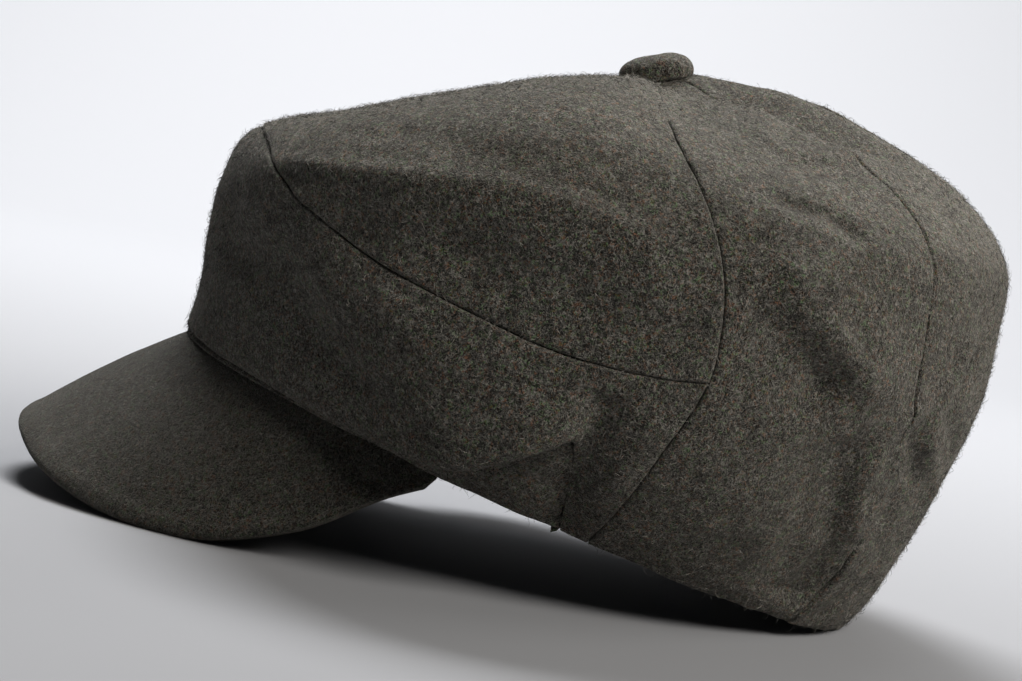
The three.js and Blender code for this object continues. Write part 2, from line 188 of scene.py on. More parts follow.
def columns(names, rows):
    """Table with named columns"""
    return dict(zip(names.split(), np.array(rows, float).T))


CROWN_SECTIONS = columns("at rim front back side front_up side_up back_up", [
    (0.0, 1.0, 1.0, 1.0, 1.0, 0.0, 0.012, 0.0),
    (0.08, 0.6, 0.979, 0.98, 0.931, 0.105, 0.084, 0.09),
    (0.18, 0.3, 1.0, 0.98, 0.974, 0.21, 0.18, 0.226),
    (0.3, 0.1, 1.007, 0.985, 1.0, 0.33, 0.33, 0.391),
    (0.42, 0.0, 0.981, 0.988, 1.0, 0.43, 0.496, 0.56),
    (0.52, 0.0, 0.919, 0.962, 0.972, 0.489, 0.632, 0.733),
    (0.64, 0.0, 0.75, 0.915, 0.872, 0.572, 0.76, 0.87),
    (0.76, 0.0, 0.533, 0.743, 0.67, 0.684, 0.842, 0.967),
    (0.87, 0.0, 0.319, 0.417, 0.413, 0.783, 0.889, 1.008),
    (0.96, 0.0, 0.106, 0.106, 0.12, 0.862, 0.908, 0.97),
    (1.0, 0.0, 0.0, 0.0, 0.0, 0.906, 0.906, 0.906),
])

FRONT_ROWS = columns("row low_angle low_at top_angle top_at pouch", [
    (0.0, 0, 0.008, 0, 0.5, 0),
    (0.11, 25, 0.008, 20, 0.468, 0.1),
    (0.22, 50, 0.01, 40, 0.375, 0.3),
    (0.31, 65, 0.034, 55, 0.333, 0.6),
    (0.41, 77, 0.084, 68, 0.32, 1),
    (0.51, 85, 0.138, 80, 0.317, 1),
    (0.61, 91.5, 0.19, 88, 0.319, 0.7),
    (0.69, 95, 0.205, 95.5, 0.329, 0.25),
    (0.77, 97, 0.15, 101, 0.339, 0),
    (0.85, 98, 0.075, 104.5, 0.347, 0),
    (0.915, 99, 0.002, 106.2, 0.352, 0),
    (0.955, 100.3, 0.0, 107.7, 0.357, 0),
    (1.0, 103.5, 0.0, 109, 0.361, 0),
])

POUCH_SHAPE = columns("up out down", [
    (0.0, 0.0, 0.0),
    (0.06, 0.62, 0.8),
    (0.14, 1.0, 0.78),
    (0.3, 0.8, 0.5),
    (0.6, 0.25, 0.15),
    (1.0, 0.0, 0.0),
])

SIDE_SEAMS = columns("at cross rear", [
    (0.0, 103.5, 145),
    (0.12, 105.2, 147),
    (0.24, 107.1, 146),
    (0.361, 109, 143),
    (0.46, 107.3, 141),
    (0.544, 104.2, 140),
    (0.628, 99.9, 139.3),
    (0.72, 95.3, 138.6),
    (0.82, 92.6, 138),
    (1.0, 91, 137),
])

PEAK_ROWS = columns("root across ahead drop", [
    (0.0, 0.0, 1.0, 0.866),
    (0.15, 0.24, 0.977, 0.893),
    (0.3, 0.468, 0.913, 0.948),
    (0.45, 0.633, 0.837, 0.977),
    (0.6, 0.772, 0.732, 0.977),
    (0.73, 0.873, 0.616, 0.932),
    (0.84, 0.949, 0.486, 0.808),
    (0.92, 0.987, 0.348, 0.563),
    (0.97, 0.997, 0.247, 0.27),
    (1.0, 0.99, 0.155, 0.05),
])

# Folds: width and rise in millimetres, then the run as pairs of angle and place up the section
BROAD_FOLDS = [
    (13.0, 2.2, [(34, 0.40), (70, 0.475), (95, 0.49)]),
    (14.0, -2.4, [(58, 0.36), (88, 0.395)]),
    (14.0, -3.0, [(22, 0.24), (66, 0.13)]),
    (15.4, 2.5, [(72, 0.15), (94, 0.3)]),
    (11.2, -3.0, [(117, 0.42), (124, 0.4)]),
    (11.2, 2.5, [(116, 0.54), (133, 0.43)]),
    (11.2, -3.0, [(131, 0.3), (139, 0.08)]),
    (9.5, -5.5, [(148, 0.905), (148.5, 0.87), (152, 0.84)]),
]

FINE_FOLDS = [
    (4.5, 1.2, [(18.8, 0.231), (26.2, 0.269), (35.5, 0.317), (43.2, 0.37)]),
    (8.0, -1.5, [(25.8, 0.179), (42, 0.262)]),
    (5.0, 1.0, [(42.5, 0.43), (58.5, 0.467), (73, 0.5), (81.5, 0.515), (93.5, 0.517)]),
    (4.0, -0.8, [(38.8, 0.399), (46.2, 0.414)]),
    (5.0, -0.5, [(42.2, 0.52), (52, 0.545)]),
    (5.0, -0.5, [(54.8, 0.568), (66.8, 0.547)]),
    (6.0, -1.6, [(70.2, 0.392), (72.8, 0.394), (75, 0.425)]),
    (2.5, -0.6, [(64.8, 0.299), (70.5, 0.299)]),
    (9.0, -1.6, [(45, 0.231), (48.8, 0.201), (53.8, 0.178)]),
    (8.0, 1.2, [(67, 0.259), (74.2, 0.248)]),
    (8.0, -1.5, [(63.8, 0.145), (70, 0.159), (74.8, 0.151)]),
    (9.0, 1.0, [(83.5, 0.249), (92.8, 0.228)]),
    (3.5, 1.5, [(139.8, 0.904), (117, 0.832), (116.8, 0.796), (123, 0.797), (147.5, 0.817)]),
    (4.0, -1.6, [(113, 0.664), (118.8, 0.664), (123.8, 0.643)]),
    (5.0, -0.8, [(100, 0.816), (101.2, 0.816)]),
    (4.0, -0.7, [(109.5, 0.576), (110, 0.575)]),
    (4.0, -0.7, [(117.8, 0.762), (122, 0.762)]),
    (4.5, -1.5, [(112.5, 0.48), (116.2, 0.457), (120.8, 0.435), (124.8, 0.417)]),
    (5.0, -1.0, [(124.8, 0.417), (123.5, 0.375), (118.8, 0.355), (115.5, 0.331)]),
    (3.5, 1.0, [(115, 0.54), (117.5, 0.482)]),
    (4.5, 1.8, [(120.5, 0.485), (124.8, 0.462), (130, 0.43)]),
    (4.0, -1.0, [(125, 0.502), (128.2, 0.477)]),
    (4.5, -1.7, [
        (133.8, 0.331), (136.2, 0.269), (139, 0.223), (142.2, 0.166), (142.5, 0.115), (141.2, 0.063),
    ]),
    (3.0, 0.9, [(138, 0.166), (137, 0.086)]),
    (3.5, 1.4, [
        (144.2, 0.419), (140, 0.389), (139.2, 0.35), (139.5, 0.304), (140, 0.262), (143, 0.208),
    ]),
    (4.0, -1.5, [(145.8, 0.37), (151.5, 0.311)]),
    (3.5, 1.6, [(152.2, 0.502), (150.8, 0.465), (148.8, 0.437), (148.8, 0.397), (149.8, 0.365)]),
    (3.5, 1.6, [(149.8, 0.365), (156.8, 0.324), (160.5, 0.297)]),
    (3.5, -1.8, [(157.8, 0.487), (155, 0.442), (154.5, 0.409), (163.8, 0.36)]),
    (3.5, 1.4, [(160.5, 0.282), (160.5, 0.236), (161.8, 0.189), (157.2, 0.143)]),
    (4.0, -1.2, [(149.2, 0.272), (152, 0.201)]),
    (3.0, -1.0, [(154.8, 0.101), (152.8, 0.061), (151.5, 0.038)]),
    (5.0, -2.8, [(97, 0.277), (97, 0.234), (97, 0.186), (97.5, 0.136), (98, 0.075), (99.5, 0.008)]),
    (4.0, 1.2, [(104.2, 0.272), (103.8, 0.223), (103, 0.168), (102, 0.113)]),
    (3.0, 0.9, [(117.2, 0.149), (114.5, 0.118), (111.2, 0.075)]),
    (3.0, 0.7, [(109.8, 0.14), (106.8, 0.09)]),
    (3.5, -0.9, [(172, 0.32), (170, 0.22), (174, 0.12)]),
]

# The folds of the wearer's right are the same ones mirrored, softer and a little shifted
OTHER_SIDE_TURN = 3.5
OTHER_SIDE_DOWN = 0.01
OTHER_SIDE_SHARE = 0.85

# Columns that read the same on both sides of the centre front, so their curves cross it level
EVEN_COLUMNS = ("low_at", "top_at", "pouch", "ahead", "drop")


def curve(table, key, column, x):
    """Smooth curve through one column of a table, at places x of its key column"""
    keys = table[key]
    values = table[column]
    slopes = np.empty(len(keys))
    slopes[1:-1] = (values[2:] - values[:-2]) / (keys[2:] - keys[:-2])
    slopes[0] = 0 if column in EVEN_COLUMNS else (values[1] - values[0]) / (keys[1] - keys[0])
    slopes[-1] = (values[-1] - values[-2]) / (keys[-1] - keys[-2])
    x = np.clip(x, keys[0], keys[-1])
    k = np.clip(np.searchsorted(keys, x, side="left") - 1, 0, len(keys) - 2)
    span = keys[k + 1] - keys[k]
    s = (x - keys[k]) / span
    s2 = s * s
    s3 = s2 * s
    return (
        (2 * s3 - 3 * s2 + 1) * values[k]
        + (s3 - 2 * s2 + s) * span * slopes[k]
        + (3 * s2 - 2 * s3) * values[k + 1]
        + (s3 - s2) * span * slopes[k + 1]
    )


def unit(v):
    return v / np.maximum(np.linalg.norm(v, axis=-1, keepdims=True), 1e-9)


def hashed(cell, seed):
    """Steady pseudo-random numbers from 0 to 1 for whole-number cells"""
    mixed = seed * SEED_PRIME
    for axis, prime in enumerate(CELL_PRIMES):
        mixed = mixed + cell[..., axis] * prime
    mixed = (mixed ^ (mixed >> 13)) * SCATTER_PRIME
    return ((mixed ^ (mixed >> 16)) & 0xFFFF) / 65535.0


def ripple(points, size, seed):
    """Smooth noise from -1 to 1 with bumps of the given size in millimetres"""
    scaled = points / size
    cell = np.floor(scaled).astype(np.int64)
    f = scaled - cell
    f = f * f * (3 - 2 * f)
    total = 0
    for corner in range(8):
        step = np.array([corner & 1, corner >> 1 & 1, corner >> 2 & 1])
        share = np.prod(np.where(step, f, 1 - f), axis=-1)
        total = total + share * hashed(cell + step, seed)
    return 2 * total - 1


def layered(points, layers, seed, start=0):
    """Start value with ripples added, one for each layer of rise and size"""
    total = start
    for number, (rise, size) in enumerate(layers):
        total = total + rise * ripple(points, size, seed + number)
    return total


def smooth_step(x):
    x = np.clip(x, 0, 1)
    return x * x * (3 - 2 * x)


def fold_lift(folds, angle, at, radius):
    """How far the folds lift or sink the skin there"""
    round_mm = np.radians(1) * radius
    lift = np.zeros(np.shape(angle))
    for width, rise, run in folds:
        from_angle = run[0][0]
        turn = np.mod(angle - from_angle + 180, 360) - 180
        nearest = np.full(np.shape(angle), np.inf)
        for (a0, t0), (a1, t1) in zip(run, run[1:]):
            here_a = (turn - (a0 - from_angle)) * round_mm
            here_t = (at - t0) * SECTION_LENGTH
            run_a = (a1 - a0) * round_mm
            run_t = (t1 - t0) * SECTION_LENGTH
            share = np.clip((here_a * run_a + here_t * run_t) / (run_a**2 + run_t**2 + 1e-9), 0, 1)
            away = np.hypot(here_a - share * run_a, here_t - share * run_t)
            nearest = np.minimum(nearest, away)
        lift += rise * np.exp(-((nearest / width) ** 2))
    return lift


def both_sides(folds):
    """The folds of the wearer's left with those of the right"""
    others = []
    for width, rise, run in folds:
        shifted = [(-angle - OTHER_SIDE_TURN, max(at - OTHER_SIDE_DOWN, 0)) for angle, at in run]
        others.append((width, rise * OTHER_SIDE_SHARE, shifted))
    return folds + others


def crown(angle, at):
    """Points of the crown's outer skin. The angle runs from the centre front to the wearer's left."""
    cos = np.cos(np.radians(angle))
    sin = np.sin(np.radians(angle))

    def section(column):
        return curve(CROWN_SECTIONS, "at", column, at)

    rim = section("rim")
    ahead = cos > 0
    front = rim * RIM_FRONT + (1 - rim) * section("front") * CROWN_FRONT
    back = rim * RIM_BACK + (1 - rim) * section("back") * CROWN_BACK
    fuller = 1 + CROWN_CORNERS * (1 - rim) * np.sin(2 * np.radians(angle)) ** 2
    width = (rim * RIM_HALF_WIDTH + (1 - rim) * section("side") * CROWN_HALF_WIDTH) * fuller
    side_up = section("side_up")
    end_up = np.where(ahead, section("front_up"), section("back_up"))
    smooth = np.stack([
        width * sin,
        -BUTTON_AHEAD * at - cos * np.where(ahead, front, back),
        CROWN_HEIGHT * (side_up + (end_up - side_up) * cos * cos),
    ], -1)
    out = unit(smooth - np.array([0, -FOLD_CENTRE_AHEAD, FOLD_CENTRE_UP]))
    from_rim = at * SECTION_LENGTH
    near_top = np.minimum((1 - at) * SECTION_LENGTH / BROAD_FADE, 1)
    broad = fold_lift(both_sides(BROAD_FOLDS), angle, at, width) * np.minimum(from_rim / BROAD_FADE, 1)
    fine_share = np.minimum(RIM_FINE_SHARE + from_rim / FINE_FADE, 1)
    fine = fold_lift(both_sides(FINE_FOLDS), angle, at, width) * fine_share
    return smooth + out * ((broad + fine) * near_top)[..., None]


def facing(points):
    """Unit normals of a grid of points, from its own columns and rows"""
    around = np.gradient(points, axis=1)
    up = np.gradient(points, axis=0)
    return unit(np.cross(around, up))


def spread(length, step, edge=EDGE_STEP):
    """Shares from 0 to 1 along a side of that length, close together at both ends"""
    near = np.cumsum(edge * EDGE_GROWTH ** np.arange(EDGE_STEPS))
    near = near[near < length / 3]
    middle = max(int(round((length - 2 * near[-1]) / step)), 2)
    inner = np.linspace(near[-1], length - near[-1], middle + 1)
    return np.concatenate([[0], near[:-1], inner, length - near[-2::-1], [length]]) / length


def both_sides_grid(sizes, edge=EDGE_STEP):
    """Grids from -1 to 1 along a skin that spans both sides, and from 0 to 1 up it"""
    along, up = sizes
    return np.meshgrid(spread(*along) * 2 - 1, spread(*up, edge=edge))


def edge_distances(points):
    """Distance in millimetres from each grid point to its first and last row and column"""
    def run(axis):
        steps = np.linalg.norm(np.diff(points, axis=axis), axis=-1)
        start = np.zeros_like(steps.take([0], axis=axis))
        return np.concatenate([start, np.cumsum(steps, axis=axis)], axis=axis)
    rows = run(0)
    cols = run(1)
    return rows, rows[-1:] - rows, cols, cols[:, -1:] - cols


def sewn(points, seed, seams=(1, 1, 1, 1), puckers=(1, 1, 1, 1)):
    """Cloth skin of a panel: edges turned in at the seams, small puckers beside them, a soft uneven face"""
    normals = facing(points)
    distances = edge_distances(points)
    sink = 0
    pucker = 0
    along = layered(points, GATHERS, seed)
    for distance, seam, gathered in zip(distances, seams, puckers):
        sink = np.maximum(sink, seam * SEAM_DEPTH * np.exp(-((distance / SEAM_WIDTH) ** 2)))
        pucker = np.maximum(pucker, gathered * np.exp(-distance / PUCKER_REACH))
    lift = PUCKER_RISE * pucker * along - sink
    lift = layered(points, CLOTH_UNEVEN, seed + len(GATHERS), start=lift)
    inward = np.zeros_like(points)
    around = unit(np.gradient(points, axis=1))
    up = unit(np.gradient(points, axis=0))
    inward[0] += up[0]
    inward[-1] -= up[-1]
    inward[:, 0] += around[:, 0]
    inward[:, -1] -= around[:, -1]
    return points + normals * lift[..., None] + inward * SEAM_GAP / 2, normals


def tipped(x, y, z):
    """Rim frame's directions turned to the rest pose"""
    cos = math.cos(REST_TIP)
    sin = math.sin(REST_TIP)
    return x, y * cos + z * sin, z * cos - y * sin


def at_rest(points):
    """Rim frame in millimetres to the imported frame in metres, nothing below the floor"""
    placed = np.stack(tipped(*np.moveaxis(points, -1, 0)), -1) + REST_SHIFT
    placed[..., 2] = np.maximum(placed[..., 2], FLOOR_CLEARANCE)
    return placed / 1000


def mesh_object(name, vertices, faces, material):
    """Smooth-shaded piece that rides on the cap's only body"""
    mesh = bpy.data.meshes.new(name)
    mesh.from_pydata(vertices.tolist(), [], faces)
    mesh.polygons.foreach_set("use_smooth", [True] * len(mesh.polygons))
    mesh.materials.append(material)
    mesh.update()
    piece = bpy.data.objects.new(name, mesh)
    bpy.context.collection.objects.link(piece)
    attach(piece, "root")
    return piece


def shell_faces(rows, cols):
    """Quads of an outer and an inner grid, and of the strips that join their edges"""
    i, j = np.meshgrid(np.arange(rows - 1), np.arange(cols - 1), indexing="ij")
    a = (i * cols + j).ravel()
    outer = np.stack([a, a + 1, a + cols + 1, a + cols], -1)
    far = rows * cols
    inner = np.stack([a, a + cols, a + cols + 1, a + 1], -1) + far
    j = np.arange(cols - 1)
    last = (rows - 1) * cols
    bottom = np.stack([j, j + far, j + 1 + far, j + 1], -1)
    top = np.stack([j + last, j + 1 + last, j + 1 + last + far, j + last + far], -1)
    i = np.arange(rows - 1) * cols
    end = cols - 1
    left = np.stack([i, i + cols, i + cols + far, i + far], -1)
    right = np.stack([i + end, i + end + far, i + end + cols + far, i + end + cols], -1)
    return np.concatenate([outer, inner, bottom, top, left, right]).tolist()


def shell(name, outer, normals, thickness, material):
    """Closed cloth shell from its outer skin"""
    inner = outer - normals * thickness
    vertices = np.concatenate([at_rest(outer).reshape(-1, 3), at_rest(inner).reshape(-1, 3)])
    rows, cols = outer.shape[:2]
    return mesh_object(name, vertices, shell_faces(rows, cols), material)


def front_panel():
    """Front wrap with its pouch hanging over the band, between the lower seam and the curved top seam"""
    along, up = both_sides_grid(FRONT_GRID)
    row = np.abs(along)
    side = np.sign(along)
    low_at = np.maximum(curve(FRONT_ROWS, "row", "low_at", row), 0)
    top_at = curve(FRONT_ROWS, "row", "top_at", row)
    at = low_at + (top_at - low_at) * up
    low_angle = curve(FRONT_ROWS, "row", "low_angle", row)
    top_angle = curve(FRONT_ROWS, "row", "top_angle", row)
    straight = low_angle + (top_angle - low_angle) * up
    end_at = JUNCTION_AT * up
    first = FRONT_ROWS["low_angle"][-1]
    last = FRONT_ROWS["top_angle"][-1]
    to_seam = curve(SIDE_SEAMS, "at", "cross", end_at) - (first + (last - first) * up)
    angle = (straight + to_seam * row**FRONT_END_POWER) * side
    skin = crown(angle, at)
    pouch = np.maximum(curve(FRONT_ROWS, "row", "pouch", row), 0)
    out = pouch * POUCH_OVERHANG * curve(POUCH_SHAPE, "up", "out", up)
    down = pouch * POUCH_DROOP * curve(POUCH_SHAPE, "up", "down", up)
    skin = skin + facing(skin) * out[..., None]
    skin[..., 2] -= down
    sharp = LIP_SEAM - LIP_SEAM_LOSS * smooth_step((row - LIP_END_ROW) / LIP_END_REACH)
    return sewn(skin, 11, seams=(sharp, 1, 1, 1), puckers=(0.7, 1, 1, 1))


def front_band():
    """Band whose upper edge and ends are tucked in behind the front panel"""
    along, up = both_sides_grid(BAND_GRID)
    along = along * BAND_LAST_ROW
    row = np.abs(along)
    top = np.maximum(curve(FRONT_ROWS, "row", "low_at", np.minimum(row, BAND_END_ROW)), 0)
    angle = curve(FRONT_ROWS, "row", "low_angle", row) * np.sign(along)
    reach = TUCK_REACH / SECTION_LENGTH
    at = (top + reach) * up
    skin = crown(angle, at)
    behind_edge = smooth_step((at - top + BAND_TUCK_START * reach) / (BAND_TUCK_RUN * reach))
    behind_end = smooth_step((row - BAND_END_ROW) / BAND_END_REACH)
    tuck = TUCK_DEPTH * np.maximum(behind_edge, behind_end)
    skin = skin - facing(skin) * tuck[..., None]
    return sewn(skin, 23, seams=(0.8, 0, 0, 0), puckers=(0.4, 0, 0, 0))


def top_panel():
    """The one U-shaped piece on top, from the front seam back to the cross seam"""
    along, up = both_sides_grid(TOP_GRID)
    row = np.abs(along)
    low = curve(FRONT_ROWS, "row", "top_at", row)
    at = low + (TOP_HOLE_SHARE - low) * up
    seam_at = JUNCTION_AT + (TOP_HOLE_SHARE - JUNCTION_AT) * up
    share = curve(FRONT_ROWS, "row", "top_angle", row) / FRONT_ROWS["top_angle"][-1]
    angle = share * curve(SIDE_SEAMS, "at", "cross", seam_at) * np.sign(along)
    return sewn(crown(angle, at), 37)


def rear_panel(from_seam, to_seam, sizes, seed):
    """Rear gore between two seams, from the rim to the button"""
    along, height = sizes
    share, up = np.meshgrid(spread(*along), spread(*height))
    at = TOP_HOLE_SHARE * up
    start = from_seam(at)
    return sewn(crown(start + (to_seam(at) - start) * share, at), seed)


def cross_seam(at):
    return curve(SIDE_SEAMS, "at", "cross", at)


def rear_seam(at):
    return curve(SIDE_SEAMS, "at", "rear", at)


def back_seam(at):
    return np.full_like(at, 180.0)


def mirrored(seam):
    return lambda at: 360 - seam(at)


def peak_skin():
    """Middle surface of the peak with its outward side, from its outer edge to its root"""
    along, out = both_sides_grid(PEAK_GRID, edge=PEAK_EDGE_STEP)
    root = np.abs(along)
    side = np.sign(along)
    across = curve(PEAK_ROWS, "root", "across", root) * PEAK_HALF_WIDTH * side
    ahead = curve(PEAK_ROWS, "root", "ahead", root) * (RIM_FRONT + PEAK_REACH)
    drop = curve(PEAK_ROWS, "root", "drop", root) * PEAK_DROP
    edge = np.stack([across, -ahead, -drop], -1)
    start = crown(along * PEAK_ROOT_ANGLE, np.zeros_like(along))
    away = start * np.array([1, 1, 0])
    away = unit(away) + np.array([0, 0, PEAK_LEAN])
    start = start - np.array([0, 0, PEAK_GAP])
    lift = PEAK_CROWN * 4 * out * (1 - out) * (1 - root**4)
    return edge + (start - edge) * out[..., None] + unit(away) * lift[..., None]


def build_peak(material):
    """Stiff peak with a rounded turned edge, its root tucked in behind the rim"""
    skin = peak_skin()
    normals = facing(skin)
    outer_edge, root_edge, first, last = edge_distances(skin)
    edge = np.minimum(np.minimum(outer_edge, first), last)
    radius = PEAK_THICKNESS / 2
    round_share = np.sqrt(np.clip(1 - (1 - np.clip(edge / radius, 0, 1)) ** 2, 0, 1))
    uneven = layered(skin, PEAK_UNEVEN, PEAK_SEED)
    middle = skin - normals * radius
    roll = PEAK_ROLL * np.exp(-(((edge - PEAK_ROLL_IN) / PEAK_ROLL_WIDTH) ** 2))
    upper = middle + normals * (radius * round_share + (uneven + roll) * round_share)[..., None]
    lower = middle - normals * (radius * round_share - PEAK_LOWER_LOSS * round_share)[..., None]
    along = spread(*PEAK_GRID[0]) * 2 - 1
    angle, at = np.meshgrid(along * PEAK_ROOT_ANGLE, PEAK_TUCK_AT)
    band = crown(angle, at)
    outward = facing(band)
    upper = np.concatenate([upper, band - outward * (TUCK_DEPTH + PEAK_TUCK_UPPER)])
    lower = np.concatenate([lower, band - outward * (TUCK_DEPTH + PEAK_TUCK_LOWER)])
    vertices = np.concatenate([at_rest(upper).reshape(-1, 3), at_rest(lower).reshape(-1, 3)])
    rows, cols = upper.shape[:2]
    piece = mesh_object("peak_cloth", vertices, shell_faces(rows, cols), material)
    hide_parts("peak")
    return piece


def build_button(material):
    """Low cloth-covered dome with a shallow dimple and a flat underside"""
    radius = BUTTON_WIDTH / 2
    share = np.linspace(0, 1, len(BUTTON_PROFILE))
    fine = np.linspace(0, 1, BUTTON_ROWS)
    profile = columns("share out up", [(s, r, z) for s, (r, z) in zip(share, BUTTON_PROFILE)])
    out = np.clip(curve(profile, "share", "out", fine), 0, None) * radius
    rise = np.clip(curve(profile, "share", "up", fine), 0, None) * BUTTON_HEIGHT
    turn = np.linspace(0, 2 * np.pi, BUTTON_TURNS, endpoint=False)
    x = out[:, None] * np.cos(turn)
    y = out[:, None] * np.sin(turn)
    points = np.stack([x, y, np.broadcast_to(rise[:, None], x.shape)], -1)
    pleats = PLEAT_DEPTH * np.sin(turn * PLEATS + PLEAT_TURN) * (out[:, None] / radius) ** PLEAT_POWER
    bumps = layered(points, BUTTON_UNEVEN, BUTTON_SEED)
    points[..., :2] *= (1 + (pleats + bumps) / radius)[..., None]
    points[..., 2] += bumps * (rise[:, None] / BUTTON_HEIGHT)
    points[..., 2] += BUTTON_GAP
    cos = math.cos(math.radians(BUTTON_TILT))
    sin = math.sin(math.radians(BUTTON_TILT))
    x, y, z = np.moveaxis(points, -1, 0)
    y = y + BUTTON_BACK
    points = np.stack([x, y * cos - z * sin, y * sin + z * cos], -1)
    apex = crown(np.array(0.0), np.array(1.0))
    vertices = at_rest(points + apex).reshape(-1, 3)
    faces = []
    for i in range(len(fine) - 1):
        for j in range(BUTTON_TURNS):
            a = i * BUTTON_TURNS + j
            b = i * BUTTON_TURNS + (j + 1) % BUTTON_TURNS
            faces.append((a, b, b + BUTTON_TURNS, a + BUTTON_TURNS))
    piece = mesh_object("button_cloth", vertices, faces, material)
    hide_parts("button")
    return piece


def build_fuzz(name, outer, normals, count, seed, material):
    """Short curly fibres that stand off the cloth as thin tapering ribbons"""
    draw = np.random.default_rng(seed)
    rows, cols = outer.shape[:2]
    across = np.linalg.norm(np.diff(outer, axis=1)[:-1], axis=-1)
    along = np.linalg.norm(np.diff(outer, axis=0)[:, :-1], axis=-1)
    area = (across * along).ravel()
    cell = draw.choice(len(area), count, p=area / area.sum())
    i, j = np.divmod(cell, cols - 1)
    u = draw.random((count, 1))
    v = draw.random((count, 1))

    def inside(grid_values):
        low = grid_values[i, j] * (1 - u) + grid_values[i, j + 1] * u
        high = grid_values[i + 1, j] * (1 - u) + grid_values[i + 1, j + 1] * u
        return low * (1 - v) + high * v

    root = inside(outer)
    up = unit(inside(normals))
    lean = unit(draw.normal(size=(count, 3)))
    lean = unit(lean - up * np.sum(lean * up, axis=-1, keepdims=True))
    bend = np.cross(up, lean)
    length = FIBRE_SHORTEST + (FIBRE_LONGEST - FIBRE_SHORTEST) * draw.random((count, 1)) ** 2
    rise = draw.uniform(*FIBRE_RISE, (count, 1))
    curl = draw.uniform(*FIBRE_CURL, (count, 1))

    def reached(shares):
        on, over, aside = shares
        return root + length * (on * lean + over * rise * up + aside * curl * bend)

    mid = reached(FIBRE_MIDDLE)
    tip = reached(FIBRE_TIP)
    side = unit(np.cross(mid - root, draw.normal(size=(count, 3)))) * FIBRE_WIDTH / 2
    narrow = side * FIBRE_TAPER
    points = np.stack([root - side, root + side, mid - narrow, mid + narrow, tip], axis=1)
    first = np.arange(count) * 5
    quads = np.stack([first, first + 1, first + 3, first + 2], -1).tolist()
    tips = np.stack([first + 2, first + 3, first + 4], -1).tolist()
    return mesh_object(name, at_rest(points).reshape(-1, 3), quads + tips, material)


class Shader:
    """Short way to add nodes to a material"""

    def __init__(self, name):
        self.material = bpy.data.materials.new(name)
        self.material.use_nodes = True
        self.tree = self.material.node_tree
        self.surface = self.tree.nodes["Principled BSDF"]

    def add(self, kind, settings=None, **inputs):
        node = self.tree.nodes.new(kind)
        for key, value in (settings or {}).items():
            setattr(node, key, value)
        for key, value in inputs.items():
            numbered = key[0] == "i" and key[1:].isdigit()
            socket = node.inputs[int(key[1:]) if numbered else key]
            if isinstance(value, bpy.types.NodeSocket):
                self.tree.links.new(value, socket)
            else:
                socket.default_value = value
        return node

    def math(self, operation, first, second=0.0):
        return self.add("ShaderNodeMath", {"operation": operation}, i0=first, i1=second).outputs[0]

    def noise(self, places, scale, detail=2.0, roughness=0.5, distortion=0.0):
        node = self.add(
            "ShaderNodeTexNoise", None, Vector=places, Scale=scale,
            Detail=detail, Roughness=roughness, Distortion=distortion,
        )
        return node.outputs[0]

    def moved(self, places, offset, scale=(1, 1, 1)):
        return self.add("ShaderNodeMapping", None, Vector=places, Location=offset, Scale=scale).outputs[0]

    def millimetres(self):
        """Places on the object in millimetres"""
        object_place = self.add("ShaderNodeTexCoord").outputs["Object"]
        return self.add("ShaderNodeMapping", None, Vector=object_place, Scale=(1000, 1000, 1000)).outputs[0]

    def between(self, value, low, high, to_low=0.0, to_high=1.0):
        """Smooth step of a value from one range to another"""
        node = self.add(
            "ShaderNodeMapRange", {"interpolation_type": "SMOOTHSTEP"},
            i0=value, i1=low, i2=high, i3=to_low, i4=to_high,
        )
        return node.outputs[0]

    def mix(self, share, first, second, blend="MIX"):
        settings = {"data_type": "RGBA", "blend_type": blend}
        return self.add("ShaderNodeMix", settings, i0=share, i6=first, i7=second).outputs[2]

    def strands(self, places, scale, width, offset):
        """Thin curly lines, where a noise crosses its middle value"""
        field = self.noise(self.moved(places, offset), scale, detail=1.2, roughness=0.45, distortion=0.8)
        return self.between(self.math("ABSOLUTE", self.math("SUBTRACT", field, 0.5)), 0.0, width, 1.0, 0.0)


